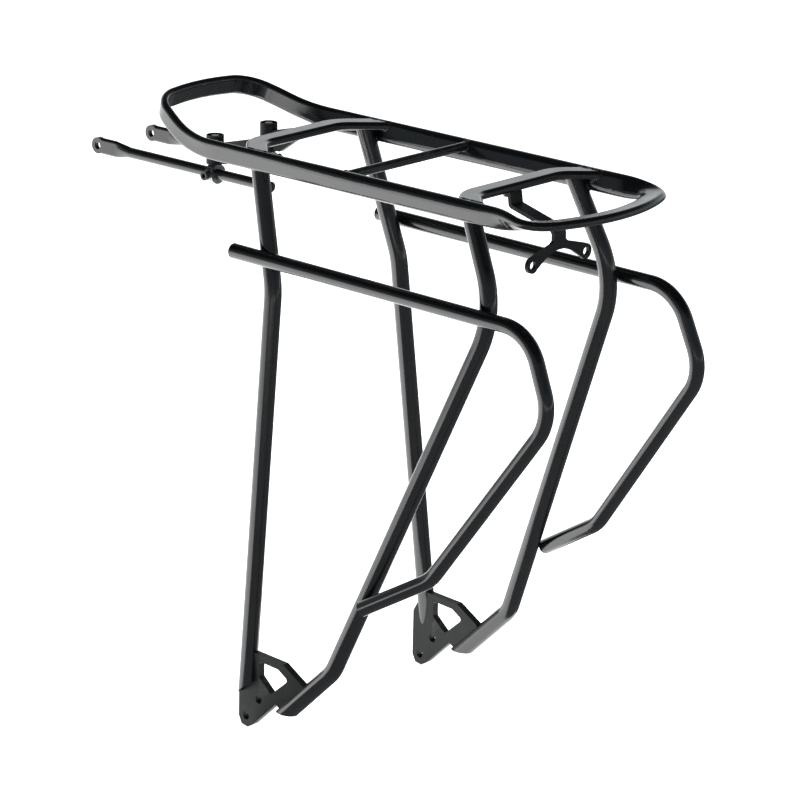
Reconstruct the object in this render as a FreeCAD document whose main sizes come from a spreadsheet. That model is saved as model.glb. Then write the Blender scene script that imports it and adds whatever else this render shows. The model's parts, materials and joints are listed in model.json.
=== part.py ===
import FreeCAD, Part
import math
import os

import Sketcher
from FreeCAD import Placement, Rotation, Vector

# Rear rack for a bicycle, in millimetres.
# Frame: +X points to the back of the bicycle, +Y to its right, +Z up.
# The origin lies midway between the two lower bolt holes of the foot plates.

doc = FreeCAD.newDocument("rear_rack")

# ---------------------------------------------------------------- driving dimensions

DIMENSIONS = {
    # deck loop: an oval tube on edge, flatter in front, laid over at the rear and bent up at the front
    "deck_half_width": 58.0,
    "deck_height": 363.5,
    "oval_long": 14.7,
    "oval_short": 5.6,
    "rail_oval_short": 9.2,
    "rail_full_from_x": 78.0,
    "rail_full_to_x": 158.0,
    "oval_wall": 1.2,
    "front_oval_long": 13.2,
    "front_tilt": 6.0,
    "rail_tilt": 18.0,
    "rear_tilt": 82.0,
    "rear_corner_x": 216.5,
    "rear_point_x": 240.4,
    "rear_corner_radius": 18.0,
    "rear_bow_radius": 118.0,
    "taper_start_x": -83.0,
    "taper_radius": 140.0,
    "front_corner_x": -125.6,
    "front_corner_y": 41.2,
    "front_corner_radius": 25.5,
    "front_point_x": -130.9,
    "front_bow_radius": 180.0,
    "front_bow_start_x": -46.0,
    "rear_bow_start_x": 182.5,
    "rise_start_x": -59.4,
    "rise_radius": 112.0,
    "rise_angle": 20.4,
    # bridges: the same flat-oval tube lying flat, swept back to the rails at 45 degrees
    "bridge_height": 367.6,
    "bridge_bend": 20.0,
    "front_bridge_x": -39.5,
    "front_bridge_corner_y": 36.9,
    "rear_bridge_x": 147.5,
    "rear_bridge_corner_y": 40.6,
    "crossbar_x": 57.6,
    "crossbar_height": 367.0,
    "crossbar_diameter": 6.0,
    # legs
    "leg_diameter": 11.5,
    "tube_wall": 1.2,
    "leg_bend": 60.0,
    "foot_bend": 22.0,
    "front_foot_cut_height": 21.5,
    "front_foot_cut_angle": 39.5,
    "rear_foot_cut_height": 10.8,
    # pannier rails
    "rail_diameter": 10.0,
    "rail_bend": 30.0,
    "rail_end_bend": 28.0,
    "rail_front_x": -28.5,
    "cap_length": 2.2,
    "cap_plug_length": 9.0,
    # foot plates
    "plate_y": 83.4,
    "plate_thickness": 5.0,
    "bolt_hole": 5.3,
    "upper_hole_x": 11.4,
    "upper_hole_height": 13.9,
    # stays and their clamps
    "stay_y": 24.9,
    "stay_height": 336.7,
    "stay_diameter": 7.0,
    "stay_rear_x": -38.0,
    "stay_taper_x": -168.0,
    "stay_flat_x": -182.0,
    "stay_eye_x": -198.2,
    "stay_eye_width": 11.0,
    "stay_eye_thickness": 3.6,
    "clamp_x": -89.4,
    "barrel_diameter": 11.6,
    "barrel_top": 362.6,
    "barrel_bottom": 343.6,
    "barrel_bore": 5.1,
    "recess_diameter": 9.8,
    "recess_depth": 6.0,
    "web_thickness": 4.0,
    "eyebolt_diameter": 5.0,
    "eyebolt_top": 362.3,
    "eye_diameter": 13.0,
    "eye_length": 6.5,
    "eye_bore": 7.1,
    "washer_diameter": 9.4,
    "washer_thickness": 1.0,
    "nut_width": 8.0,
    "nut_thickness": 4.0,
    "seat_gap": 0.1,
    "grub_diameter": 4.0,
    "grub_head_diameter": 6.0,
    "grub_head_length": 3.0,
    "grub_socket": 2.0,
    # rear light bracket
    "light_x": 185.5,
    "light_height": 327.5,
    "light_spacing": 50.0,
    "light_hole": 5.4,
    "light_ear_diameter": 10.2,
    "bracket_thickness": 2.5,
    "bracket_width": 11.0,
    "bracket_step": 8.5,
    "bracket_arm_rise": 18.2,
    "bracket_bolt_x": 142.8,
    "bracket_bolt": 5.0,
    "tab_thickness": 3.0,
    "screw_head_diameter": 7.6,
    "screw_head_height": 3.0,
}

sheet = doc.addObject("Spreadsheet::Sheet", "Dimensions")
for row, (alias, value) in enumerate(DIMENSIONS.items(), start=1):
    sheet.set(f"A{row}", alias)
    sheet.set(f"B{row}", str(value))
    sheet.setAlias(f"B{row}", alias)
doc.recompute()

nodes = []
SIDES = {"left": -1, "right": 1}


def size(alias):
    """A driving dimension, read from the sheet."""
    return float(sheet.get(alias))


def bind(thing, **expressions):
    """Bind properties of an object to expressions over the sheet's cells."""
    for name, expression in expressions.items():
        thing.setExpression(name, expression)
    return thing


def cell(alias):
    return f"Dimensions.{alias}"


def node(thing, label):
    """Give a finished piece the label that names its file."""
    thing.Label = label
    nodes.append(thing)
    return thing


def feature(name, shape):
    thing = doc.addObject("Part::Feature", name)
    thing.Shape = shape
    return thing


def boolean(kind, base, tool, name):
    thing = doc.addObject(kind, name)
    thing.Base = base
    thing.Tool = tool
    return thing


def fuse(name, *pieces):
    thing = doc.addObject("Part::MultiFuse", name)
    thing.Shapes = list(pieces)
    return thing


def cylinder(name, diameter, height, place):
    """A cylinder bound to two expressions, standing on place."""
    thing = doc.addObject("Part::Cylinder", name)
    bind(thing, Radius=f"({diameter}) / 2", Height=height)
    thing.Placement = place
    return thing


UPRIGHT = Rotation()
ALONG_X = Rotation(Vector(0, 0, 1), Vector(1, 0, 0))
ALONG_Y = Rotation(Vector(0, 0, 1), Vector(0, 1, 0))


def at(x, y, z, rotation=UPRIGHT):
    return Placement(Vector(x, y, z), rotation)


# ---------------------------------------------------------------- paths and tube sections


def corner_arc(before, corner, after, radius):
    """The arc of a given radius that is tangent to both runs at a corner."""
    back = (before - corner).normalize()
    ahead = (after - corner).normalize()
    half = back.getAngle(ahead) / 2
    reach = radius / math.tan(half)
    middle = corner + (back + ahead).normalize() * (radius / math.sin(half) - radius)
    return Part.Arc(corner + back * reach, middle, corner + ahead * reach).toShape()


def bent_path(points, radii):
    """Straight runs joined by tangent arcs, as one wire."""
    edges = []
    stop = points[0]
    for i in range(1, len(points) - 1):
        arc = corner_arc(points[i - 1], points[i], points[i + 1], radii[i])
        start = arc.Vertexes[0].Point
        if (start - stop).Length > 0.01:
            edges.append(Part.makeLine(stop, start))
        edges.append(arc)
        stop = arc.Vertexes[-1].Point
    edges.append(Part.makeLine(stop, points[-1]))
    return Part.Wire(edges)


def swept_round(name, path, start, heading, diameter):
    """A round bar of a bound diameter swept along a path."""
    section = doc.addObject("Part::Circle", name + "_section")
    bind(section, Radius=f"({diameter}) / 2")
    section.Placement = Placement(start, Rotation(Vector(0, 0, 1), heading))
    sweep = doc.addObject("Part::Sweep", name)
    sweep.Sections = [section]
    sweep.Spine = (path, [f"Edge{i + 1}" for i in range(len(path.Shape.Edges))])
    sweep.Solid = True
    sweep.Frenet = False
    return sweep


def bent_tube(name, points, radii, diameter, wall):
    """A round tube along straight runs and tangent bends, as (tube, solid bar)."""
    path = feature(name + "_path", bent_path(points, radii))
    heading = points[1] - points[0]
    bar = swept_round(name + "_bar", path, points[0], heading, diameter)
    core = swept_round(name + "_core", path, points[0], heading, f"{diameter} - 2 * {wall}")
    return boolean("Part::Cut", bar, core, name + "_tube")


def oval_wire(centre, outward, up, tilt, long, short):
    """A flat-oval section: two flats and two half-round ends, tilted with its top outward."""
    length_axis = up * math.cos(tilt) + outward * math.sin(tilt)
    width_axis = outward * math.cos(tilt) - up * math.sin(tilt)
    flat = (long - short) / 2
    half = short / 2

    def spot(along, across):
        return centre + length_axis * along + width_axis * across

    inner_low, inner_high = spot(-flat, -half), spot(flat, -half)
    outer_low, outer_high = spot(-flat, half), spot(flat, half)
    return Part.Wire(
        [
            Part.makeLine(inner_low, inner_high),
            Part.Arc(inner_high, spot(flat + half, 0), outer_high).toShape(),
            Part.makeLine(outer_high, outer_low),
            Part.Arc(outer_low, spot(-flat - half, 0), inner_low).toShape(),
        ]
    )


def stations(edge, spacing):
    """Points and headings spread evenly along one edge of a path, both ends included."""
    count = max(2, round(edge.Length / spacing) + 1)
    found = []
    for i in range(count):
        parameter = edge.getParameterByLength(edge.Length * i / (count - 1))
        found.append((edge.valueAt(parameter), edge.tangentAt(parameter)))
    return found


# ---------------------------------------------------------------- deck loop


def deck_rise(x):
    """Height above the rails, and its slope, where the front of the loop bends up."""
    start, radius, angle = size("rise_start_x"), size("rise_radius"), math.radians(size("rise_angle"))
    ahead = start - x
    bend_length = radius * math.sin(angle)
    if ahead <= 0:
        return 0.0, 0.0
    if ahead < bend_length:
        turn = math.asin(ahead / radius)
        return radius * (1 - math.cos(turn)), -math.tan(turn)
    return radius * (1 - math.cos(angle)) + (ahead - bend_length) * math.tan(angle), -math.tan(angle)


def eased(x, first, last):
    """A share that grows smoothly from 0 at first to 1 at last."""
    share = min(max((x - first) / (last - first), 0.0), 1.0)
    return share * share * (3 - 2 * share)


def front_share(x):
    return eased(x, size("rise_start_x"), size("rise_start_x") - 32)


def deck_tilt(x):
    """How far the section leans out: a little along the rails, nearly flat round the rear bow."""
    rail = size("rail_tilt")
    lean = rail + (size("rear_tilt") - rail) * eased(x, size("rear_bow_start_x"), size("rear_corner_x"))
    return math.radians(lean + (size("front_tilt") - rail) * front_share(x))


def deck_short(x):
    """Thickness of the section: a flat oval in the front and round the rear bow, fuller along the rails."""
    grown = eased(x, size("front_bow_start_x"), size("rail_full_from_x"))
    flattened = eased(x, size("rail_full_to_x"), size("rear_corner_x"))
    return size("oval_short") + (size("rail_oval_short") - size("oval_short")) * grown * (1 - flattened)


def deck_section(spot, heading, shrink):
    """The tube's section at a point of the plan, square to the loop as it bends up in front."""
    rise, slope = deck_rise(spot.x)
    up = Vector(-slope, 0, 1).normalize()
    along = Vector(heading.x, heading.y, slope * heading.x).normalize()
    outward = along.cross(up).normalize()
    if outward.dot(Vector(spot.x - size("crossbar_x"), spot.y, 0)) < 0:
        outward = outward * -1
    centre = Vector(spot.x, spot.y, size("deck_height") + rise)
    long = size("oval_long") + (size("front_oval_long") - size("oval_long")) * front_share(spot.x)
    return oval_wire(centre, outward, up, deck_tilt(spot.x), long - shrink, deck_short(spot.x) - shrink)


def rear_bow_plan():
    half = size("deck_half_width")
    start = size("rear_bow_start_x")
    points = [
        Vector(start, -half, 0),
        Vector(size("rear_corner_x"), -half, 0),
        Vector(size("rear_point_x"), 0, 0),
        Vector(size("rear_corner_x"), half, 0),
        Vector(start, half, 0),
    ]
    corner = size("rear_corner_radius")
    return bent_path(points, [0, corner, size("rear_bow_radius"), corner, 0])


def front_bow_plan():
    half = size("deck_half_width")
    start = size("front_bow_start_x")
    right = [
        Vector(start, half, 0),
        Vector(size("taper_start_x"), half, 0),
        Vector(size("front_corner_x"), size("front_corner_y"), 0),
    ]
    left = [Vector(spot.x, -spot.y, 0) for spot in reversed(right)]
    side_radii = [0, size("taper_radius"), size("front_corner_radius")]
    points = right + [Vector(size("front_point_x"), 0, 0)] + left
    return bent_path(points, side_radii + [size("front_bow_radius")] + side_radii[::-1])


def rail_run(sign):
    """The straight run of one rail, in plan."""
    y = sign * size("deck_half_width")
    return Part.makeLine(Vector(size("front_bow_start_x"), y, 0), Vector(size("rear_bow_start_x"), y, 0))


def deck_solid(shrink):
    """The whole loop as one bar: a loft along each run and bend of the rails and bows."""
    pieces = []
    for edge in front_bow_plan().Edges + rear_bow_plan().Edges + [rail_run(-1), rail_run(1)]:
        sections = [deck_section(spot, heading, shrink) for spot, heading in stations(edge, 6)]
        pieces.append(Part.makeLoft(sections, True))
    return pieces[0].multiFuse(pieces[1:])


def make_deck():
    body = feature("deck_solid", deck_solid(0))
    bore = feature("deck_bore", deck_solid(2 * size("oval_wall")))
    node(boolean("Part::Cut", body, bore, "deck"), "deck_loop")
    return body


# ---------------------------------------------------------------- bridges and crossbar


def bridge_points(middle_x, corner_y):
    """Half a bridge in plan, mirrored: straight across, then swept back at 45 degrees."""
    end_y = size("deck_half_width") + size("oval_long") / 2
    end_x = middle_x + end_y - corner_y
    height = size("bridge_height")
    half = [(end_x, end_y), (middle_x, corner_y)]
    left = [Vector(x, -y, height) for x, y in half]
    right = [Vector(x, y, height) for x, y in reversed(half)]
    return left + right


def bridge_solid(points, long, short):
    bend = size("bridge_bend")
    path = bent_path(points, [bend] * len(points))
    up = Vector(0, 0, 1)
    heading = (points[1] - points[0]).normalize()
    section = oval_wire(points[0], heading.cross(up), up, math.radians(90), long, short)
    return path.makePipeShell([section], True, False)


def make_bridge(label, middle_x, corner_y, deck_body, drilling=None):
    long, short, wall = size("oval_long"), size("oval_short"), size("oval_wall")
    points = bridge_points(middle_x, corner_y)
    body = feature(label + "_solid", bridge_solid(points, long, short))
    bore = feature(label + "_bore", bridge_solid(points, long - 2 * wall, short - 2 * wall))
    tube = boolean("Part::Cut", body, bore, label + "_tube")
    if drilling:
        tube = boolean("Part::Cut", tube, drilling, label + "_drilled")
    between_rails = doc.addObject("Part::Box", label + "_between_rails")
    half = cell("deck_half_width")
    bind(between_rails, Length="120", Width=f"2 * {half}", Height="40")
    between_rails.Placement = at(middle_x - 40, -size("deck_half_width"), size("bridge_height") - 20)
    trimmed = boolean("Part::Common", tube, between_rails, label + "_trimmed")
    node(boolean("Part::Cut", trimmed, deck_body, label + "_coped"), label)
    return body


def make_crossbar(deck_body):
    half = size("deck_half_width")
    place = at(size("crossbar_x"), -half, size("crossbar_height"), ALONG_Y)
    bar = cylinder("crossbar_bar", cell("crossbar_diameter"), f"2 * {cell('deck_half_width')}", place)
    node(boolean("Part::Cut", bar, deck_body, "crossbar_coped"), "mid_crossbar")


# ---------------------------------------------------------------- feet and legs


def polygon_sketch(body, name, plane_role, corners, offset=None):
    """A closed outline in the plane of one of the body's own origin planes."""
    sketch = body.newObject("Sketcher::SketchObject", name)
    plane = [one for one in body.Origin.OriginFeatures if one.Role == plane_role][0]
    sketch.AttachmentSupport = [(plane, "")]
    sketch.MapMode = "FlatFace"
    if offset:
        sketch.AttachmentOffset = offset
    count = len(corners)
    for i in range(count):
        first, last = corners[i], corners[(i + 1) % count]
        sketch.addGeometry(Part.LineSegment(Vector(*first, 0), Vector(*last, 0)), False)
    return sketch


def circle_sketch(body, name, plane_role, circles, offset=None):
    """Circles, each ((x, y), diameter expression), in one of the body's own origin planes."""
    sketch = body.newObject("Sketcher::SketchObject", name)
    plane = [one for one in body.Origin.OriginFeatures if one.Role == plane_role][0]
    sketch.AttachmentSupport = [(plane, "")]
    sketch.MapMode = "FlatFace"
    if offset:
        sketch.AttachmentOffset = offset
    for index, ((x, y), diameter) in enumerate(circles):
        ring = Part.Circle(Vector(x, y, 0), Vector(0, 0, 1), 2.0)
        sketch.addGeometry(ring, False)
        rule = sketch.addConstraint(Sketcher.Constraint("Diameter", index, 4.0))
        sketch.setExpression(f"Constraints[{rule}]", diameter)
    return sketch


def pad(body, name, sketch, length, midplane=True, reverse=False):
    thing = body.newObject("PartDesign::Pad", name)
    thing.Profile = sketch
    thing.setExpression("Length", length)
    thing.Midplane = midplane
    thing.Reversed = reverse
    return thing


def pocket_through(body, name, sketch):
    thing = body.newObject("PartDesign::Pocket", name)
    thing.Profile = sketch
    thing.Type = 1
    thing.Midplane = True
    return thing


# Outline of a foot plate in x and z: a rounded tip round the lower hole, a straight front edge
# up the leg, and a tab at the back that enters the slotted end of the rear leg.
PLATE_OUTLINE = [
    (-6.6, -1.0),
    (-6.2, 30.0),
    (3.0, 45.6),
    (33.3, 43.7),
    (50.5, 33.5),
    (53.0, 29.0),
    (32.0, 11.6),
    (26.8, 14.6),
    (6.0, -4.6),
    (1.5, -7.2),
    (-4.0, -6.2),
]
PLATE_WINDOW = [
    (11.8, 40.6),
    (28.9, 39.2),
    (38.0, 33.6),
    (22.4, 20.4),
    (11.8, 29.6),
]


def make_foot_plate(side, sign):
    body = doc.addObject("PartDesign::Body", f"foot_plate_body_{side}")
    # The XZ plane's sketch has its second axis along +Z and its normal along -Y.
    outline = polygon_sketch(body, f"plate_outline_{side}", "XZ_Plane", PLATE_OUTLINE)
    slab = pad(body, f"plate_slab_{side}", outline, cell("plate_thickness"))
    window = polygon_sketch(body, f"plate_window_{side}", "XZ_Plane", PLATE_WINDOW)
    pocket_through(body, f"plate_window_cut_{side}", window)
    holes = [
        ((0.0, 0.0), cell("bolt_hole")),
        ((size("upper_hole_x"), size("upper_hole_height")), cell("bolt_hole")),
    ]
    drilled = circle_sketch(body, f"plate_holes_{side}", "XZ_Plane", holes)
    pocket_through(body, f"plate_drilling_{side}", drilled)
    doc.recompute()
    drilled_plate = body.Tip
    upright_edges = []
    for index, edge in enumerate(drilled_plate.Shape.Edges, start=1):
        ends = [vertex.Point for vertex in edge.Vertexes]
        across = len(ends) == 2 and abs(ends[0].y - ends[1].y) > size("plate_thickness") - 0.1
        near_window = any(abs(ends[0].x - x) + abs(ends[0].z - z) < 0.1 for x, z in PLATE_WINDOW)
        outer = any(abs(ends[0].x - x) + abs(ends[0].z - z) < 0.1 for x, z in PLATE_OUTLINE[:5])
        if across and (near_window or outer):
            upright_edges.append(f"Edge{index}")
    rounded = body.newObject("PartDesign::Fillet", f"plate_rounding_{side}")
    rounded.Base = (drilled_plate, upright_edges)
    rounded.Radius = 2.0
    body.Placement = at(0, sign * size("plate_y"), 0)
    return node(body, f"foot_plate_{side}")


def leg_y(z):
    """The legs of a side lie in one plane that leans in towards the deck."""
    return 90.0 - 0.111 * z


def trim_below(tube, name, spot, angle):
    """The tube without what lies under a plane through a spot, tilted up towards the back by an angle."""
    below = doc.addObject("Part::Box", name + "_foot_cut")
    bind(below, Length=f"6 * {cell('leg_diameter')}", Width=f"4 * {cell('leg_diameter')}", Height="30")
    lean = Rotation(Vector(0, 1, 0), -angle)
    corner = Vector(-3 * size("leg_diameter"), -2 * size("leg_diameter"), -30)
    below.Placement = Placement(spot + lean.multVec(corner), lean)
    return boolean("Part::Cut", tube, below, name + "_trimmed")


def make_front_leg(side, sign, plate, deck_body, bridge_body):
    points = [
        Vector(2.3, sign * 88.2, 8.0),
        Vector(-3.1, sign * leg_y(282), 282),
        Vector(-26.3, sign * leg_y(367), 367),
    ]
    radii = [0, size("leg_bend"), 0]
    name = f"front_leg_{side}"
    tube = bent_tube(name, points, radii, cell("leg_diameter"), cell("tube_wall"))
    cut = Vector(points[0].x, points[0].y, size("front_foot_cut_height"))
    trimmed = trim_below(tube, name, cut, size("front_foot_cut_angle"))
    slotted = boolean("Part::Cut", trimmed, plate, name + "_slotted")
    under = boolean("Part::Cut", slotted, bridge_body, name + "_under_bridge")
    return node(boolean("Part::Cut", under, deck_body, name + "_coped"), name)


def make_rear_leg(side, sign, plate, deck_body, bridge_body):
    points = [
        Vector(25.8, sign * 84.1, 1.8),
        Vector(76.6, sign * 84.6, 49.3),
        Vector(184.0, sign * leg_y(302), 302),
        Vector(153.6, sign * leg_y(367), 367),
    ]
    radii = [0, size("foot_bend"), size("leg_bend"), 0]
    name = f"rear_leg_{side}"
    tube = bent_tube(name, points, radii, cell("leg_diameter"), cell("tube_wall"))
    cut = Vector(points[0].x, points[0].y, size("rear_foot_cut_height"))
    trimmed = trim_below(tube, name, cut, 0)
    slotted = boolean("Part::Cut", trimmed, plate, name + "_slotted")
    under = boolean("Part::Cut", slotted, bridge_body, name + "_under_bridge")
    return node(boolean("Part::Cut", under, deck_body, name + "_coped"), name)


# ---------------------------------------------------------------- pannier rails


def make_pannier_rail(side, sign, front_leg, rear_leg):
    points = [
        Vector(size("rail_front_x"), sign * 68.2, 304.2),
        Vector(223.3, sign * 69.4, 301.6),
        Vector(244.3, sign * 71.8, 250.2),
        Vector(155.1, sign * 79.6, 129.0),
        Vector(104.0, sign * 87.6, 99.5),
    ]
    radii = [0, size("rail_bend"), size("rail_bend"), size("rail_end_bend"), 0]
    name = f"pannier_rail_{side}"
    tube = bent_tube(name, points, radii, cell("rail_diameter"), cell("tube_wall"))
    clear = boolean("Part::Cut", tube, front_leg, name + "_clear_of_front_leg")
    node(boolean("Part::Cut", clear, rear_leg, name + "_clear_of_rear_leg"), name)
    make_rail_cap(side, points[0], points[1] - points[0])


def make_rail_cap(side, mouth, heading):
    """A plug with a domed head that closes the free front end of a pannier rail."""
    outer = size("rail_diameter") / 2
    bore = outer - size("tube_wall")
    head = size("cap_length")
    plug = size("cap_plug_length")
    edge = 0.8
    profile = Part.Wire(
        [
            Part.makeLine(Vector(0, 0, -head), Vector(outer - edge - 1.0, 0, -head)),
            Part.Arc(
                Vector(outer - edge - 1.0, 0, -head),
                Vector(outer - 0.55, 0, -head + 0.6),
                Vector(outer, 0, -edge),
            ).toShape(),
            Part.makeLine(Vector(outer, 0, -edge), Vector(outer, 0, 0)),
            Part.makeLine(Vector(outer, 0, 0), Vector(bore, 0, 0)),
            Part.makeLine(Vector(bore, 0, 0), Vector(bore, 0, plug)),
            Part.makeLine(Vector(bore, 0, plug), Vector(0, 0, plug)),
            Part.makeLine(Vector(0, 0, plug), Vector(0, 0, -head)),
        ]
    )
    cap = feature(f"cap_{side}", Part.Face(profile).revolve(Vector(), Vector(0, 0, 1), 360))
    cap.Placement = Placement(mouth, Rotation(Vector(0, 0, 1), heading))
    node(cap, f"rail_end_cap_{side}")


# ---------------------------------------------------------------- stay clamps and stays


def make_clamp_lug(side, sign, bridge_body):
    """A barrel with a vertical bore, on a web that is welded to the front bridge."""
    x, y = size("clamp_x"), sign * size("stay_y")
    radius = size("barrel_diameter") / 2
    top, bottom = size("barrel_top"), size("barrel_bottom")
    bridge_edge = size("front_bridge_x") - size("oval_long") / 2
    web_outline = [
        (x, top - 4.4),
        (x + radius, top - 4.4),
        (bridge_edge + 4, size("bridge_height") + 1.2),
        (bridge_edge + 4, size("bridge_height") - 2.0),
        (bridge_edge - 8, size("bridge_height") - 7.0),
        (x + radius + 6, bottom + 1.4),
        (x, bottom + 1.0),
    ]
    body = doc.addObject("PartDesign::Body", f"clamp_lug_body_{side}")
    web = polygon_sketch(body, f"web_outline_{side}", "XZ_Plane", web_outline)
    pad(body, f"web_{side}", web, cell("web_thickness"))
    ring = circle_sketch(
        body,
        f"barrel_ring_{side}",
        "XY_Plane",
        [((x, 0), cell("barrel_diameter"))],
        at(0, 0, bottom),
    )
    height = f"{cell('barrel_top')} - {cell('barrel_bottom')}"
    pad(body, f"barrel_{side}", ring, height, midplane=False)
    body.Placement = at(0, y, 0)
    bore = cylinder(
        f"barrel_bore_{side}",
        cell("barrel_bore"),
        f"{cell('barrel_top')} - {cell('barrel_bottom')} + 2",
        at(x, y, bottom - 1),
    )
    recess = cylinder(
        f"barrel_recess_{side}",
        cell("recess_diameter"),
        f"{cell('recess_depth')} + 1",
        at(x, y, top - size("recess_depth")),
    )
    bored = boolean("Part::Cut", body, bore, f"barrel_bored_{side}")
    recessed = boolean("Part::Cut", bored, recess, f"barrel_recessed_{side}")
    node(boolean("Part::Cut", recessed, bridge_body, f"clamp_lug_coped_{side}"), f"clamp_lug_{side}")


def make_eyebolt(side, sign):
    """A bolt with an eye: its shank turns in the barrel and its eye holds the stay."""
    x, y, z = size("clamp_x"), sign * size("stay_y"), size("stay_height")
    half = size("eye_length") / 2
    shank = cylinder(
        f"eyebolt_shank_{side}",
        cell("eyebolt_diameter"),
        f"{cell('eyebolt_top')} - {cell('stay_height')} - 4",
        at(x, y, z + 4),
    )
    eye = cylinder(f"eyebolt_eye_{side}", cell("eye_diameter"), cell("eye_length"), at(x - half, y, z, ALONG_X))
    boss = cylinder(
        f"eyebolt_boss_{side}",
        cell("grub_head_diameter"),
        f"{cell('eye_diameter')} / 2 + 1.2",
        at(x, y, z, Rotation(Vector(0, 0, 1), Vector(0, sign, 0))),
    )
    bore = cylinder(
        f"eyebolt_bore_{side}",
        cell("eye_bore"),
        f"{cell('eye_length')} + 2",
        at(x - half - 1, y, z, ALONG_X),
    )
    tapped = cylinder(
        f"eyebolt_tapping_{side}",
        cell("grub_diameter"),
        f"{cell('eye_diameter')}",
        at(x, y, z, Rotation(Vector(0, 0, 1), Vector(0, sign, 0))),
    )
    solid = fuse(f"eyebolt_solid_{side}", shank, eye, boss)
    bored = boolean("Part::Cut", solid, bore, f"eyebolt_bored_{side}")
    node(boolean("Part::Cut", bored, tapped, f"eyebolt_tapped_{side}"), f"clamp_eyebolt_{side}")


def make_clamp_washer(side, sign):
    x, y = size("clamp_x"), sign * size("stay_y")
    seat = size("barrel_top") - size("recess_depth") + size("seat_gap")
    disc = cylinder(f"washer_disc_{side}", cell("washer_diameter"), cell("washer_thickness"), at(x, y, seat))
    hole = cylinder(
        f"washer_hole_{side}",
        f"{cell('eyebolt_diameter')} + 0.3",
        f"{cell('washer_thickness')} + 2",
        at(x, y, seat - 1),
    )
    node(boolean("Part::Cut", disc, hole, f"washer_{side}"), f"clamp_washer_{side}")


def hex_nut(name, width, thickness, bore, place):
    """A hexagon with chamfered corners and a bore, standing on place."""
    prism = doc.addObject("Part::Prism", name + "_prism")
    prism.Polygon = 6
    bind(prism, Circumradius=f"({width}) / 2 / cos(30)", Height=thickness)
    prism.Placement = place
    cone = doc.addObject("Part::Cone", name + "_chamfer")
    bind(
        cone,
        Radius1=f"({width}) / 2 / cos(30) + 1.2 * ({thickness})",
        Radius2=f"({width}) / 2 * 0.98",
        Height=thickness,
    )
    cone.Placement = place
    hole = cylinder(name + "_hole", bore, f"({thickness}) + 2", place.multiply(at(0, 0, -1)))
    shaped = boolean("Part::Common", prism, cone, name + "_shaped")
    return boolean("Part::Cut", shaped, hole, name + "_bored")


def make_clamp_nut(side, sign):
    x, y = size("clamp_x"), sign * size("stay_y")
    seat = size("barrel_top") - size("recess_depth") + size("seat_gap") + size("washer_thickness")
    nut = hex_nut(
        f"clamp_nut_{side}_hex",
        cell("nut_width"),
        cell("nut_thickness"),
        cell("eyebolt_diameter"),
        at(x, y, seat),
    )
    node(nut, f"clamp_nut_{side}")


def make_grub_screw(side, sign):
    """The small screw in the eye that pinches the stay, with a hexagon socket."""
    x, y, z = size("clamp_x"), sign * size("stay_y"), size("stay_height")
    outward = Rotation(Vector(0, 0, 1), Vector(0, sign, 0))
    tip = size("stay_diameter") / 2 + 0.35
    head_seat = size("eye_diameter") / 2 + 1.2
    shank = cylinder(
        f"grub_shank_{side}",
        cell("grub_diameter"),
        f"{cell('eye_diameter')} / 2 + 1.2 - {cell('stay_diameter')} / 2 - 0.35",
        at(x, y + sign * tip, z, outward),
    )
    head = cylinder(
        f"grub_head_{side}",
        cell("grub_head_diameter"),
        cell("grub_head_length"),
        at(x, y + sign * head_seat, z, outward),
    )
    socket = doc.addObject("Part::Prism", f"grub_socket_{side}")
    socket.Polygon = 6
    bind(socket, Circumradius=f"{cell('grub_socket')} / cos(30) * 0.75", Height=cell("grub_head_length"))
    socket.Placement = at(x, y + sign * (head_seat + 1.2), z, outward)
    solid = fuse(f"grub_solid_{side}", shank, head)
    node(boolean("Part::Cut", solid, socket, f"grub_{side}"), f"clamp_screw_{side}")


def make_stay(side, sign):
    """A round rod with its front end pressed flat and drilled."""
    y, z = sign * size("stay_y"), size("stay_height")
    rod = cylinder(
        f"stay_rod_{side}",
        cell("stay_diameter"),
        f"{cell('stay_rear_x')} - {cell('stay_taper_x')}",
        at(size("stay_taper_x"), y, z, ALONG_X),
    )
    half_thick, half_wide = size("stay_eye_thickness") / 2, size("stay_eye_width") / 2

    def flat_wire(x):
        middle = Vector(x, y, z)
        return oval_wire(middle, Vector(0, 1, 0), Vector(0, 0, 1), 0.0, 2 * half_wide, 2 * half_thick)

    rod_end = Vector(size("stay_taper_x"), y, z)
    circle = Part.Wire([Part.makeCircle(size("stay_diameter") / 2, rod_end, Vector(1, 0, 0))])
    taper = feature(f"stay_taper_{side}", Part.makeLoft([circle, flat_wire(size("stay_flat_x"))], True, True))
    tongue_face = Part.Face(flat_wire(size("stay_flat_x")))
    tongue = feature(
        f"stay_tongue_{side}",
        tongue_face.extrude(Vector(size("stay_eye_x") - size("stay_flat_x"), 0, 0)),
    )
    tip = cylinder(
        f"stay_tip_{side}",
        cell("stay_eye_width"),
        cell("stay_eye_thickness"),
        at(size("stay_eye_x"), y - half_thick, z, ALONG_Y),
    )
    hole = cylinder(
        f"stay_hole_{side}",
        cell("bolt_hole"),
        f"{cell('stay_eye_thickness')} + 2",
        at(size("stay_eye_x"), y - half_thick - 1, z, ALONG_Y),
    )
    solid = fuse(f"stay_solid_{side}", rod, taper, tongue, tip)
    node(boolean("Part::Cut", solid, hole, f"stay_drilled_{side}"), f"stay_{side}")


# ---------------------------------------------------------------- rear light bracket


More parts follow.
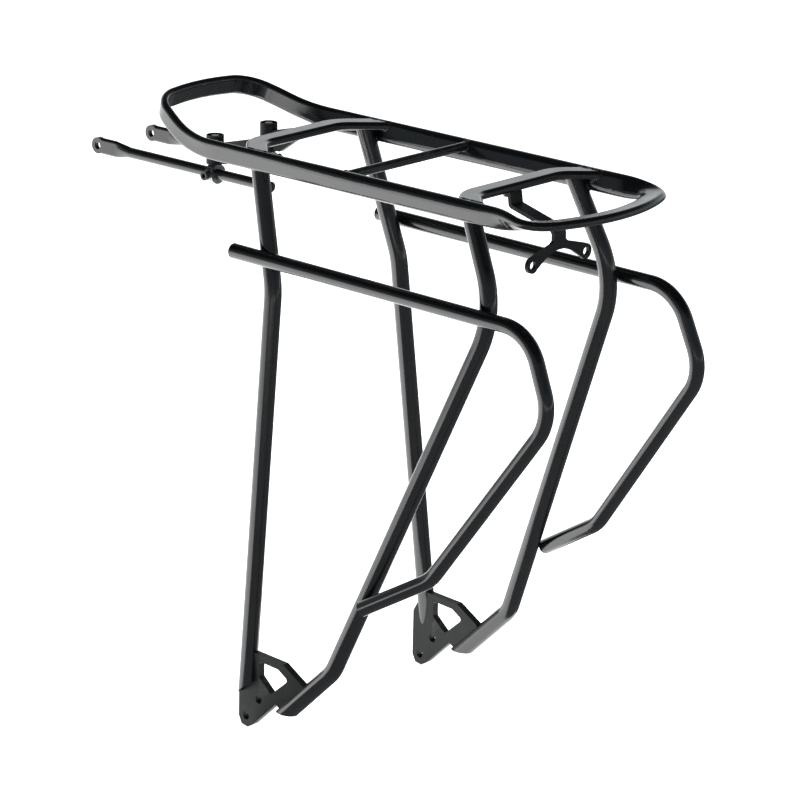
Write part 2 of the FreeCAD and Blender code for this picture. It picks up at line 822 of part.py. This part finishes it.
def make_light_bracket():
    """A bent strip under the rear bridge that ends in an upright plate with two drilled ears."""
    thickness = size("bracket_thickness")
    underside = size("bridge_height") - size("oval_short") / 2
    flange_z = underside - thickness / 2
    step_x = size("rear_bridge_x") + 1.0
    light_x, light_z = size("light_x"), size("light_height")
    route = [
        Vector(size("rear_bridge_x") - 8.5, 0, flange_z),
        Vector(step_x, 0, flange_z),
        Vector(step_x + 1.2, 0, flange_z - size("bracket_step")),
        Vector(light_x, 0, light_z + size("bracket_arm_rise")),
        Vector(light_x, 0, light_z + 8.0),
    ]
    path = feature("bracket_path", bent_path(route, [0, 1.6, 2.0, 4.0, 0]))
    section = doc.addObject("Part::Plane", "bracket_section")
    bind(section, Length=cell("bracket_thickness"), Width=cell("bracket_width"))
    half_width = size("bracket_width") / 2
    section.Placement = Placement(
        route[0] + Vector(0, -half_width, thickness / 2), Rotation(Vector(0, 1, 0), 90)
    )
    strip = doc.addObject("Part::Sweep", "bracket_strip")
    strip.Sections = [section]
    strip.Spine = (path, [f"Edge{i + 1}" for i in range(len(path.Shape.Edges))])
    strip.Solid = True
    strip.Frenet = False

    half_spacing = size("light_spacing") / 2
    right = [
        (half_width, light_z + 12.0),
        (half_width + 2.0, light_z + 10.2),
        (half_spacing + 1.2, light_z + 5.0),
        (half_spacing - 4.2, light_z - 2.9),
        (half_width + 5.5, light_z + 3.5),
        (3.5, light_z + 5.8),
    ]
    left = [(-y, z) for y, z in reversed(right)]
    plate_body = doc.addObject("PartDesign::Body", "bracket_plate_body")
    outline = polygon_sketch(plate_body, "bracket_plate_outline", "YZ_Plane", right + left)
    pad(plate_body, "bracket_plate_slab", outline, cell("bracket_thickness"))
    plate_body.Placement = at(light_x, 0, 0)
    front_face = light_x - thickness / 2
    pieces, holes = [strip, plate_body], []
    for side, sign in SIDES.items():
        spot = at(front_face, sign * half_spacing, light_z, ALONG_X)
        pieces.append(cylinder(f"ear_{side}", cell("light_ear_diameter"), cell("bracket_thickness"), spot))
        mouth = at(front_face - 1, sign * half_spacing, light_z, ALONG_X)
        length = f"{cell('bracket_thickness')} + 2"
        holes.append(cylinder(f"ear_hole_{side}", cell("light_hole"), length, mouth))
    bolt_spot = at(size("bracket_bolt_x"), 0, underside - thickness - 1)
    holes.append(
        cylinder("bracket_bolt_hole", f"{cell('bracket_bolt')}", f"{cell('bracket_thickness')} + 2", bolt_spot)
    )
    whole = fuse("bracket_whole", *pieces)
    drilling = fuse("bracket_drilling", *holes)
    node(boolean("Part::Cut", whole, drilling, "bracket"), "light_bracket")


def make_bracket_screw():
    """A button-head screw, from below, that holds the bracket to the bridge."""
    x = size("bracket_bolt_x")
    seat = size("bridge_height") - size("oval_short") / 2 - size("bracket_thickness")
    shank = cylinder(
        "bracket_screw_shank",
        cell("bracket_bolt"),
        f"{cell('bracket_thickness')} + {cell('oval_short')} - {cell('oval_wall')} - 0.4",
        at(x, 0, seat),
    )
    head = doc.addObject("Part::Cone", "bracket_screw_head")
    bind(
        head,
        Radius1=f"{cell('screw_head_diameter')} / 2 * 0.7",
        Radius2=f"{cell('screw_head_diameter')} / 2",
        Height=cell("screw_head_height"),
    )
    head.Placement = at(x, 0, seat - size("screw_head_height"))
    socket = doc.addObject("Part::Prism", "bracket_screw_socket")
    socket.Polygon = 6
    bind(socket, Circumradius="1.5 / cos(30)", Height=f"{cell('screw_head_height')} * 0.7")
    socket.Placement = at(x, 0, seat - size("screw_head_height"))
    solid = fuse("bracket_screw_solid", shank, head)
    node(boolean("Part::Cut", solid, socket, "bracket_screw_cut"), "bracket_screw")
    return shank


# ---------------------------------------------------------------- assembly

doc.recompute()
deck_body = make_deck()
make_crossbar(deck_body)
screw_shank = make_bracket_screw()
front_bridge_body = make_bridge(
    "front_bridge", size("front_bridge_x"), size("front_bridge_corner_y"), deck_body
)
rear_bridge_body = make_bridge(
    "rear_bridge", size("rear_bridge_x"), size("rear_bridge_corner_y"), deck_body, screw_shank
)
make_light_bracket()
for side, sign in SIDES.items():
    plate = make_foot_plate(side, sign)
    front_leg = make_front_leg(side, sign, plate, deck_body, front_bridge_body)
    rear_leg = make_rear_leg(side, sign, plate, deck_body, rear_bridge_body)
    doc.recompute()
    make_pannier_rail(side, sign, front_leg, rear_leg)
    make_clamp_lug(side, sign, front_bridge_body)
    make_eyebolt(side, sign)
    make_clamp_washer(side, sign)
    make_clamp_nut(side, sign)
    make_grub_screw(side, sign)
    make_stay(side, sign)
doc.recompute()

# ---------------------------------------------------------------- checks and export

for thing in doc.Objects:
    if "Invalid" in thing.State or "Error" in thing.State:
        raise SystemExit(f"{thing.Name} ({thing.Label}) failed: {thing.State}")
for thing in nodes:
    shape = thing.Shape
    if shape.isNull() or not shape.isValid() or shape.Volume <= 0:
        raise SystemExit(f"{thing.Label} has no valid solid")
    if len(shape.Solids) != 1:
        volumes = [round(solid.Volume, 2) for solid in shape.Solids]
        raise SystemExit(f"{thing.Label} is made of {len(volumes)} solids: {volumes}")

os.makedirs("parts", exist_ok=True)
for old in os.listdir("parts"):
    os.remove(os.path.join("parts", old))
for thing in nodes:
    thing.Shape.exportStep(f"parts/{thing.Label}.step")
print(f"wrote {len(nodes)} pieces")
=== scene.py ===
import json
import math

import bpy
import numpy as np
from mathutils import Matrix, Vector
from mathutils.bvhtree import BVHTree


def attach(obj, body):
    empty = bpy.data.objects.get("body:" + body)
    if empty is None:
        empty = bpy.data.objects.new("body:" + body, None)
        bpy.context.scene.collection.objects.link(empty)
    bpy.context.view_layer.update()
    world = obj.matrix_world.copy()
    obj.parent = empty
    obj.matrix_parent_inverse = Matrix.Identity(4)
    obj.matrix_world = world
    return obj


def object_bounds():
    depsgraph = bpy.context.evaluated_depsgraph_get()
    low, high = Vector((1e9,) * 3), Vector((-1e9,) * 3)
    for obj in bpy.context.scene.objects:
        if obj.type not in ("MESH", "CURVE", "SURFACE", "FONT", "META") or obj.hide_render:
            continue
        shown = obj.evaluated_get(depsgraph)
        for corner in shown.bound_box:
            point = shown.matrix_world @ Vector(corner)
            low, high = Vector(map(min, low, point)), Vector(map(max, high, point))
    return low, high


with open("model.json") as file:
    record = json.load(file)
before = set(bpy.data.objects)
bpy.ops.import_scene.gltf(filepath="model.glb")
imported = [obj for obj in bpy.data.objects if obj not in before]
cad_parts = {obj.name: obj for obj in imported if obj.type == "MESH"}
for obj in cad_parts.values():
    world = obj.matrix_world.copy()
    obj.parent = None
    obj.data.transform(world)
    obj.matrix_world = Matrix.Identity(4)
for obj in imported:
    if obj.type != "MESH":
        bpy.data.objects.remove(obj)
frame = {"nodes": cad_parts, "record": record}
NODES = frame["nodes"]
CAD_LOW, CAD_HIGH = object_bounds()
MM = 0.001
SIDES = ("left", "right")


def new_object(name, data):
    """An object of the scene around a mesh, a camera or a lamp."""
    made = bpy.data.objects.new(name, data)
    bpy.context.scene.collection.objects.link(made)
    return made


# ---------------------------------------------------------------- shader nodes

# A Mix node that works on colours has its share, its two colours and its result in these sockets.
MIX_SHARE, MIX_FIRST, MIX_SECOND, MIX_RESULT = 0, 6, 7, 2


def new_material(name):
    material = bpy.data.materials.new(name)
    material.use_nodes = True
    tree = material.node_tree
    return material, tree, tree.nodes["Principled BSDF"]


def add(tree, kind, **inputs):
    """A shader node with its named inputs set."""
    made = tree.nodes.new(kind)
    for key, value in inputs.items():
        made.inputs[key].default_value = value
    return made


def noise(tree, scale, detail=2.0, rough=0.5):
    """A noise value over the object's own coordinates."""
    coords = tree.nodes.new("ShaderNodeTexCoord")
    made = add(tree, "ShaderNodeTexNoise", Scale=scale, Detail=detail, Roughness=rough)
    tree.links.new(coords.outputs["Object"], made.inputs["Vector"])
    return made.outputs["Fac"]


def ramp(tree, source, stops):
    """The colour that a value picks from (position, grey or colour) stops."""
    made = tree.nodes.new("ShaderNodeValToRGB")
    elements = made.color_ramp.elements
    while len(elements) < len(stops):
        elements.new(0.5)
    for element, (position, colour) in zip(elements, stops):
        element.position = position
        if isinstance(colour, (int, float)):
            colour = (colour, colour, colour)
        element.color = (*colour, 1.0)
    tree.links.new(source, made.inputs["Fac"])
    return made.outputs["Color"]


def relief(tree, shader, height, strength, depth):
    """A bump on the shader's surface."""
    bump = add(tree, "ShaderNodeBump", Strength=strength, Distance=depth)
    tree.links.new(height, bump.inputs["Height"])
    tree.links.new(bump.outputs["Normal"], shader.inputs["Normal"])


# ---------------------------------------------------------------- materials

RUBBED_STEEL = (0.10, 0.10, 0.105, 1.0)
COATING_IOR = 1.55
PEEL_DEPTH = 0.2 * MM
GRAIN_DEPTH = 0.1 * MM


def worn_edges(tree, most):
    """How far the coating is rubbed off: only on sharp edges, and in broken patches."""
    geometry = tree.nodes.new("ShaderNodeNewGeometry")
    edges = ramp(tree, geometry.outputs["Pointiness"], [(0.62, 0.0), (0.78, most)])
    patches = ramp(tree, noise(tree, scale=140.0, detail=4.0, rough=0.65), [(0.42, 0.0), (0.66, 1.0)])
    share = tree.nodes.new("ShaderNodeMath")
    share.operation = "MULTIPLY"
    tree.links.new(edges, share.inputs[0])
    tree.links.new(patches, share.inputs[1])
    return share.outputs[0]


def coated(name, low, high, rough, grain, bump, specular, coat, wear):
    """Black coating over steel: fine orange peel, uneven gloss, faint colour drift and rubbed edges."""
    material, tree, shader = new_material(name)
    drift = ramp(tree, noise(tree, scale=26.0, detail=3.0), [(0.34, low), (0.68, high)])
    mixed = tree.nodes.new("ShaderNodeMix")
    mixed.data_type = "RGBA"
    mixed.inputs[MIX_SECOND].default_value = RUBBED_STEEL
    tree.links.new(worn_edges(tree, wear), mixed.inputs[MIX_SHARE])
    tree.links.new(drift, mixed.inputs[MIX_FIRST])
    tree.links.new(mixed.outputs[MIX_RESULT], shader.inputs["Base Color"])
    cloud = noise(tree, scale=70.0, detail=4.0, rough=0.6)
    gloss = ramp(tree, cloud, [(0.3, rough - 0.035), (0.7, rough + 0.05)])
    tree.links.new(gloss, shader.inputs["Roughness"])
    relief(tree, shader, noise(tree, scale=grain, detail=3.0, rough=0.55), bump, PEEL_DEPTH)
    shader.inputs["IOR"].default_value = COATING_IOR
    shader.inputs["Specular IOR Level"].default_value = specular
    shader.inputs["Coat Weight"].default_value = coat
    shader.inputs["Coat Roughness"].default_value = rough * 0.6
    return material


def plated(name, colour, rough):
    """Bright plated steel with turning lines and a little tarnish."""
    material, tree, shader = new_material(name)
    tarnish = noise(tree, scale=220.0, detail=4.0, rough=0.6)
    darker = tuple(channel * 0.62 for channel in colour)
    shade = ramp(tree, tarnish, [(0.35, darker), (0.62, colour)])
    tree.links.new(shade, shader.inputs["Base Color"])
    shader.inputs["Metallic"].default_value = 1.0
    gloss = ramp(tree, tarnish, [(0.3, rough + 0.12), (0.7, rough)])
    tree.links.new(gloss, shader.inputs["Roughness"])
    coords = tree.nodes.new("ShaderNodeTexCoord")
    lines = add(tree, "ShaderNodeTexWave", Scale=900.0, Distortion=1.5, Detail=2.0)
    lines.bands_direction = "Z"
    tree.links.new(coords.outputs["Object"], lines.inputs["Vector"])
    relief(tree, shader, lines.outputs["Fac"], 0.12, GRAIN_DEPTH)
    return material


def moulded(name, low, high, rough):
    """Matt moulded plastic with a fine spark-eroded grain."""
    material, tree, shader = new_material(name)
    drift = ramp(tree, noise(tree, scale=90.0, detail=3.0), [(0.35, low), (0.65, high)])
    tree.links.new(drift, shader.inputs["Base Color"])
    shader.inputs["Roughness"].default_value = rough
    relief(tree, shader, noise(tree, scale=2600.0, detail=2.0, rough=0.6), 0.25, GRAIN_DEPTH)
    return material


MATERIALS = {
    "black_coat": coated(
        "black_coat", low=(0.0036, 0.0040, 0.0044), high=(0.0050, 0.0055, 0.0061),
        rough=0.17, grain=900.0, bump=0.07, specular=0.95, coat=0.25, wear=0.5,
    ),
    "plate_coat": coated(
        "plate_coat", low=(0.0055, 0.0065, 0.0072), high=(0.0085, 0.0098, 0.0108),
        rough=0.42, grain=1500.0, bump=0.3, specular=0.3, coat=0.0, wear=0.8,
    ),
    "bracket_coat": coated(
        "bracket_coat", low=(0.0045, 0.0054, 0.006), high=(0.0070, 0.0082, 0.0090),
        rough=0.45, grain=1300.0, bump=0.35, specular=0.28, coat=0.0, wear=0.7,
    ),
    "stay_coat": coated(
        "stay_coat", low=(0.0042, 0.0046, 0.0050), high=(0.0060, 0.0065, 0.0071),
        rough=0.22, grain=1000.0, bump=0.10, specular=0.95, coat=0.2, wear=0.8,
    ),
    "bright_steel": plated("bright_steel", colour=(0.58, 0.59, 0.60), rough=0.22),
    "dark_steel": coated(
        "dark_steel", low=(0.010, 0.010, 0.011), high=(0.021, 0.021, 0.022),
        rough=0.38, grain=2200.0, bump=0.2, specular=0.7, coat=0.0, wear=1.0,
    ),
    "black_plastic": moulded(
        "black_plastic", low=(0.006, 0.006, 0.0065), high=(0.012, 0.012, 0.013), rough=0.5,
    ),
}
SLOT_OF = {part["node"]: part["material_slot"] for part in frame["record"]["subparts"]}

for node, thing in NODES.items():
    thing.data.materials.clear()
    thing.data.materials.append(MATERIALS[SLOT_OF[node]])
    for face in thing.data.polygons:
        face.material_index = 0

# ---------------------------------------------------------------- weld beads

TOUCH = 0.06 * MM  # how near a vertex of one tube is to the other's surface at a joint
SEAM_GAP = 4.5 * MM  # touching points further apart than this belong to different joints
FEWEST_POINTS = 6
SEAM_DIRECTIONS = 48
SPOT_SPACING = 0.35 * MM
FEWEST_SPOTS = 24
EASING_ROUNDS = 3
BEAD_RADIUS = 0.9 * MM
BEAD_SIDES = 10
RIPPLE_LENGTH = 1.5 * MM
FEWEST_RIPPLES = 6
RIPPLE_LOW, RIPPLE_SWELL = 0.82, 0.22  # shares of the bead's radius


def surface_of(node):
    """A node's surface, for finding its nearest point."""
    mesh = NODES[node].data
    return BVHTree.FromPolygons([v.co[:] for v in mesh.vertices], [p.vertices[:] for p in mesh.polygons])


def touching_points(node, target):
    """The vertices of one node that lie on another node's surface."""
    surface = surface_of(target)
    found = []
    for vertex in NODES[node].data.vertices:
        if surface.find_nearest(vertex.co, TOUCH)[0] is not None:
            found.append(vertex.co[:])
    return np.array(found)


def seam_groups(points):
    """Points split into clusters, one for each separate joint."""
    groups = []
    left = list(range(len(points)))
    while left:
        group = [left.pop()]
        grown = True
        while grown and left:
            grown = False
            for i in list(left):
                if np.min(np.linalg.norm(points[group] - points[i], axis=1)) < SEAM_GAP:
                    group.append(i)
                    left.remove(i)
                    grown = True
        groups.append(points[group])
    return groups


def outline(points):
    """A closed curve round a cluster: the farthest point in each direction, in the cluster's own plane."""
    flat = points - points.mean(axis=0)
    axes = np.linalg.svd(flat, full_matrices=False)[2]
    u, v = flat @ axes[0], flat @ axes[1]
    angle = np.arctan2(v, u)
    reach = np.hypot(u, v)
    farthest = {}
    for i in np.argsort(angle):
        key = int((angle[i] + math.pi) / (2 * math.pi) * SEAM_DIRECTIONS) % SEAM_DIRECTIONS
        if key not in farthest or reach[i] > reach[farthest[key]]:
            farthest[key] = i
    return points[[farthest[key] for key in sorted(farthest)]]


def smooth_closed(path):
    """The closed curve resampled evenly, with its corners eased."""
    closed = np.vstack([path, path[:1]])
    steps = np.linalg.norm(np.diff(closed, axis=0), axis=1)
    along = np.concatenate([[0], np.cumsum(steps)])
    count = max(FEWEST_SPOTS, int(along[-1] / SPOT_SPACING))
    spots = np.linspace(0, along[-1], count, endpoint=False)
    curve = np.stack([np.interp(spots, along, closed[:, k]) for k in range(3)], axis=1)
    for _ in range(EASING_ROUNDS):
        curve = (np.roll(curve, 1, axis=0) + 2 * curve + np.roll(curve, -1, axis=0)) / 4
    return curve


def bead(name, curve, body):
    """A rippled weld bead swept round a closed curve."""
    count = len(curve)
    tangents = np.roll(curve, -1, axis=0) - np.roll(curve, 1, axis=0)
    tangents /= np.linalg.norm(tangents, axis=1)[:, None]
    centre = curve.mean(axis=0)
    along = np.cumsum(np.linalg.norm(np.roll(curve, -1, axis=0) - curve, axis=1))
    ripples = max(FEWEST_RIPPLES, round(along[-1] / RIPPLE_LENGTH))
    vertices, faces = [], []
    for i in range(count):
        out = curve[i] - centre
        out -= tangents[i] * (out @ tangents[i])
        out /= np.linalg.norm(out)
        side = np.cross(tangents[i], out)
        phase = along[i] / along[-1] * ripples * math.pi
        radius = BEAD_RADIUS * (RIPPLE_LOW + RIPPLE_SWELL * abs(math.sin(phase)))
        for j in range(BEAD_SIDES):
            turn = 2 * math.pi * j / BEAD_SIDES
            vertices.append(curve[i] + radius * (math.cos(turn) * out + math.sin(turn) * side))
        ring = i * BEAD_SIDES
        next_ring = (i + 1) % count * BEAD_SIDES
        for j in range(BEAD_SIDES):
            k = (j + 1) % BEAD_SIDES
            faces.append((ring + j, ring + k, next_ring + k, next_ring + j))
    mesh = bpy.data.meshes.new(name)
    mesh.from_pydata([tuple(v) for v in vertices], [], faces)
    mesh.shade_smooth()
    mesh.materials.append(MATERIALS["black_coat"])
    made = new_object(name, mesh)
    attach(made, body)


WELDS = [("front_bridge", "deck_loop"), ("rear_bridge", "deck_loop"), ("mid_crossbar", "deck_loop")]
for side in SIDES:
    WELDS.append((f"front_leg_{side}", "deck_loop"))
    WELDS.append((f"rear_leg_{side}", "deck_loop"))
    WELDS.append((f"pannier_rail_{side}", f"front_leg_{side}"))
    WELDS.append((f"pannier_rail_{side}", f"rear_leg_{side}"))
    WELDS.append((f"clamp_lug_{side}", "front_bridge"))

for node, target in WELDS:
    for index, group in enumerate(seam_groups(touching_points(node, target))):
        if len(group) >= FEWEST_POINTS:
            bead(f"weld_{node}_{target}_{index}", smooth_closed(outline(group)), "frame")

# ---------------------------------------------------------------- camera

AZIMUTH, ELEVATION, ROLL = math.radians(42.71), math.radians(17.22), math.radians(0.68)
TARGET = Vector((0.050, 0.0, 0.180))
DISTANCE = 3.108
SENSOR, LENS = 36.0, 216.6
SHIFT_X, SHIFT_Y = 0.006, 0.05
FARTHEST_SEEN = 50.0

back = Vector(
    (math.sin(AZIMUTH) * math.cos(ELEVATION), -math.cos(AZIMUTH) * math.cos(ELEVATION), math.sin(ELEVATION))
)
right = Vector((math.cos(AZIMUTH), math.sin(AZIMUTH), 0.0))
up = back.cross(right)
right_rolled = right * math.cos(ROLL) + up * math.sin(ROLL)
up_rolled = up * math.cos(ROLL) - right * math.sin(ROLL)

camera = new_object("camera", bpy.data.cameras.new("camera"))
camera.data.sensor_width = SENSOR
camera.data.lens = LENS
camera.data.shift_x = SHIFT_X
camera.data.shift_y = SHIFT_Y
camera.data.clip_end = FARTHEST_SEEN
place = Matrix((right_rolled, up_rolled, back)).transposed().to_4x4()
place.translation = TARGET + back * DISTANCE
camera.matrix_world = place
bpy.context.scene.camera = camera
bpy.context.scene.view_settings.view_transform = "Standard"

# ---------------------------------------------------------------- floor and dark cloth

FLOOR_REACH = 6.0
FLOOR_HEIGHT = CAD_LOW.z - 0.5 * MM
CLOTH_HEIGHT = FLOOR_HEIGHT + 2.0 * MM

# The cloth's corners from the middle of the rack: metres to the camera's right, and towards the camera.
CLOTH_CORNERS = [
    (-0.22, 0.05), (-3.5, 3.5), (3.5, 3.5), (3.5, -3.5), (0.20, -3.5), (0.12, -0.06), (-0.03, 0.03),
]
CLOTH_FACES = [(0, 1, 2, 6), (6, 2, 5), (5, 2, 3, 4)]


def stage_material(name, colour, roughness, specular, glow, strength):
    """An even surface that also glows a little."""
    material, _, shader = new_material(name)
    shader.inputs["Base Color"].default_value = (*colour, 1.0)
    shader.inputs["Roughness"].default_value = roughness
    shader.inputs["Specular IOR Level"].default_value = specular
    shader.inputs["Emission Color"].default_value = (*glow, 1.0)
    shader.inputs["Emission Strength"].default_value = strength
    return material


def flat_sheet(name, corners, faces, material):
    """A flat surface from its corners, for the stage."""
    mesh = bpy.data.meshes.new(name)
    mesh.from_pydata(corners, [], faces)
    mesh.materials.append(material)
    return new_object(name, mesh)


paper = stage_material(
    "floor_paper", colour=(0.92, 0.92, 0.92), roughness=0.9, specular=0.1,
    glow=(1.0, 1.0, 1.0), strength=1.1,
)
floor_corners = [
    (x * FLOOR_REACH, y * FLOOR_REACH, FLOOR_HEIGHT) for x, y in ((-1, -1), (1, -1), (1, 1), (-1, 1))
]
floor = flat_sheet("floor", floor_corners, [(0, 1, 2, 3)], paper)

# The dark cloth lies on the floor in front and to the right, seen only in reflections: it keeps the
# middle and the right edge of each leg black and leaves a light strip along its left edge.
black = stage_material(
    "flag_cloth", colour=(0.004, 0.004, 0.004), roughness=1.0, specular=0.0,
    glow=(0.85, 0.95, 1.0), strength=0.16,
)
cloth_middle = Vector((TARGET.x, TARGET.y, CLOTH_HEIGHT))
ahead = Vector((back.x, back.y, 0.0)).normalized()
cloth_corners = [cloth_middle + right * a + ahead * b for a, b in CLOTH_CORNERS]
flag = flat_sheet("black_flag", cloth_corners, CLOTH_FACES, black)
flag.visible_camera = False
flag.visible_diffuse = False
flag.visible_shadow = False

# ---------------------------------------------------------------- light

# The studio is a pale cove that fades to black overhead and is brightest behind the rack.
HEIGHT_STOPS = [(0.0, 1.0), (0.30, 0.85), (0.50, 0.04), (1.0, 0.012)]
BEHIND_STOPS = [(0.0, (0.13, 0.15, 0.165)), (0.55, (0.28, 0.31, 0.33)), (0.85, (0.93, 0.98, 1.0))]
STUDIO_STRENGTH = 1.05

LAMP_PLACE = Vector((0.0, 0.3, 2.6))
LAMP_AIM = Vector((0.05, 0.0, 0.2))
LAMP_SIZE = 2.4
LAMP_WATTS = 75.0

world = bpy.data.worlds.new("studio")
bpy.context.scene.world = world
world.use_nodes = True
sky = world.node_tree
direction = sky.nodes.new("ShaderNodeTexCoord").outputs["Generated"]
parts = sky.nodes.new("ShaderNodeSeparateXYZ")
sky.links.new(direction, parts.inputs["Vector"])
facing = sky.nodes.new("ShaderNodeVectorMath")
facing.operation = "DOT_PRODUCT"
facing.inputs[1].default_value = (-math.sin(AZIMUTH), math.cos(AZIMUTH), 0.0)
sky.links.new(direction, facing.inputs[0])
cove = sky.nodes.new("ShaderNodeVectorMath")
cove.operation = "MULTIPLY"
sky.links.new(ramp(sky, parts.outputs["Z"], HEIGHT_STOPS), cove.inputs[0])
sky.links.new(ramp(sky, facing.outputs["Value"], BEHIND_STOPS), cove.inputs[1])
backdrop = sky.nodes["Background"]
sky.links.new(cove.outputs[0], backdrop.inputs["Color"])
backdrop.inputs["Strength"].default_value = STUDIO_STRENGTH

# One soft lamp overhead lights the floor, and leaves no highlight on the tubes.
lamp = new_object("overhead", bpy.data.lights.new("overhead", "AREA"))
lamp.data.shape = "RECTANGLE"
lamp.data.size = LAMP_SIZE
lamp.data.size_y = LAMP_SIZE
lamp.data.energy = LAMP_WATTS
lamp.location = LAMP_PLACE
lamp.rotation_mode = "QUATERNION"
lamp.rotation_quaternion = (LAMP_AIM - LAMP_PLACE).to_track_quat("-Z", "Y")
lamp.visible_glossy = False
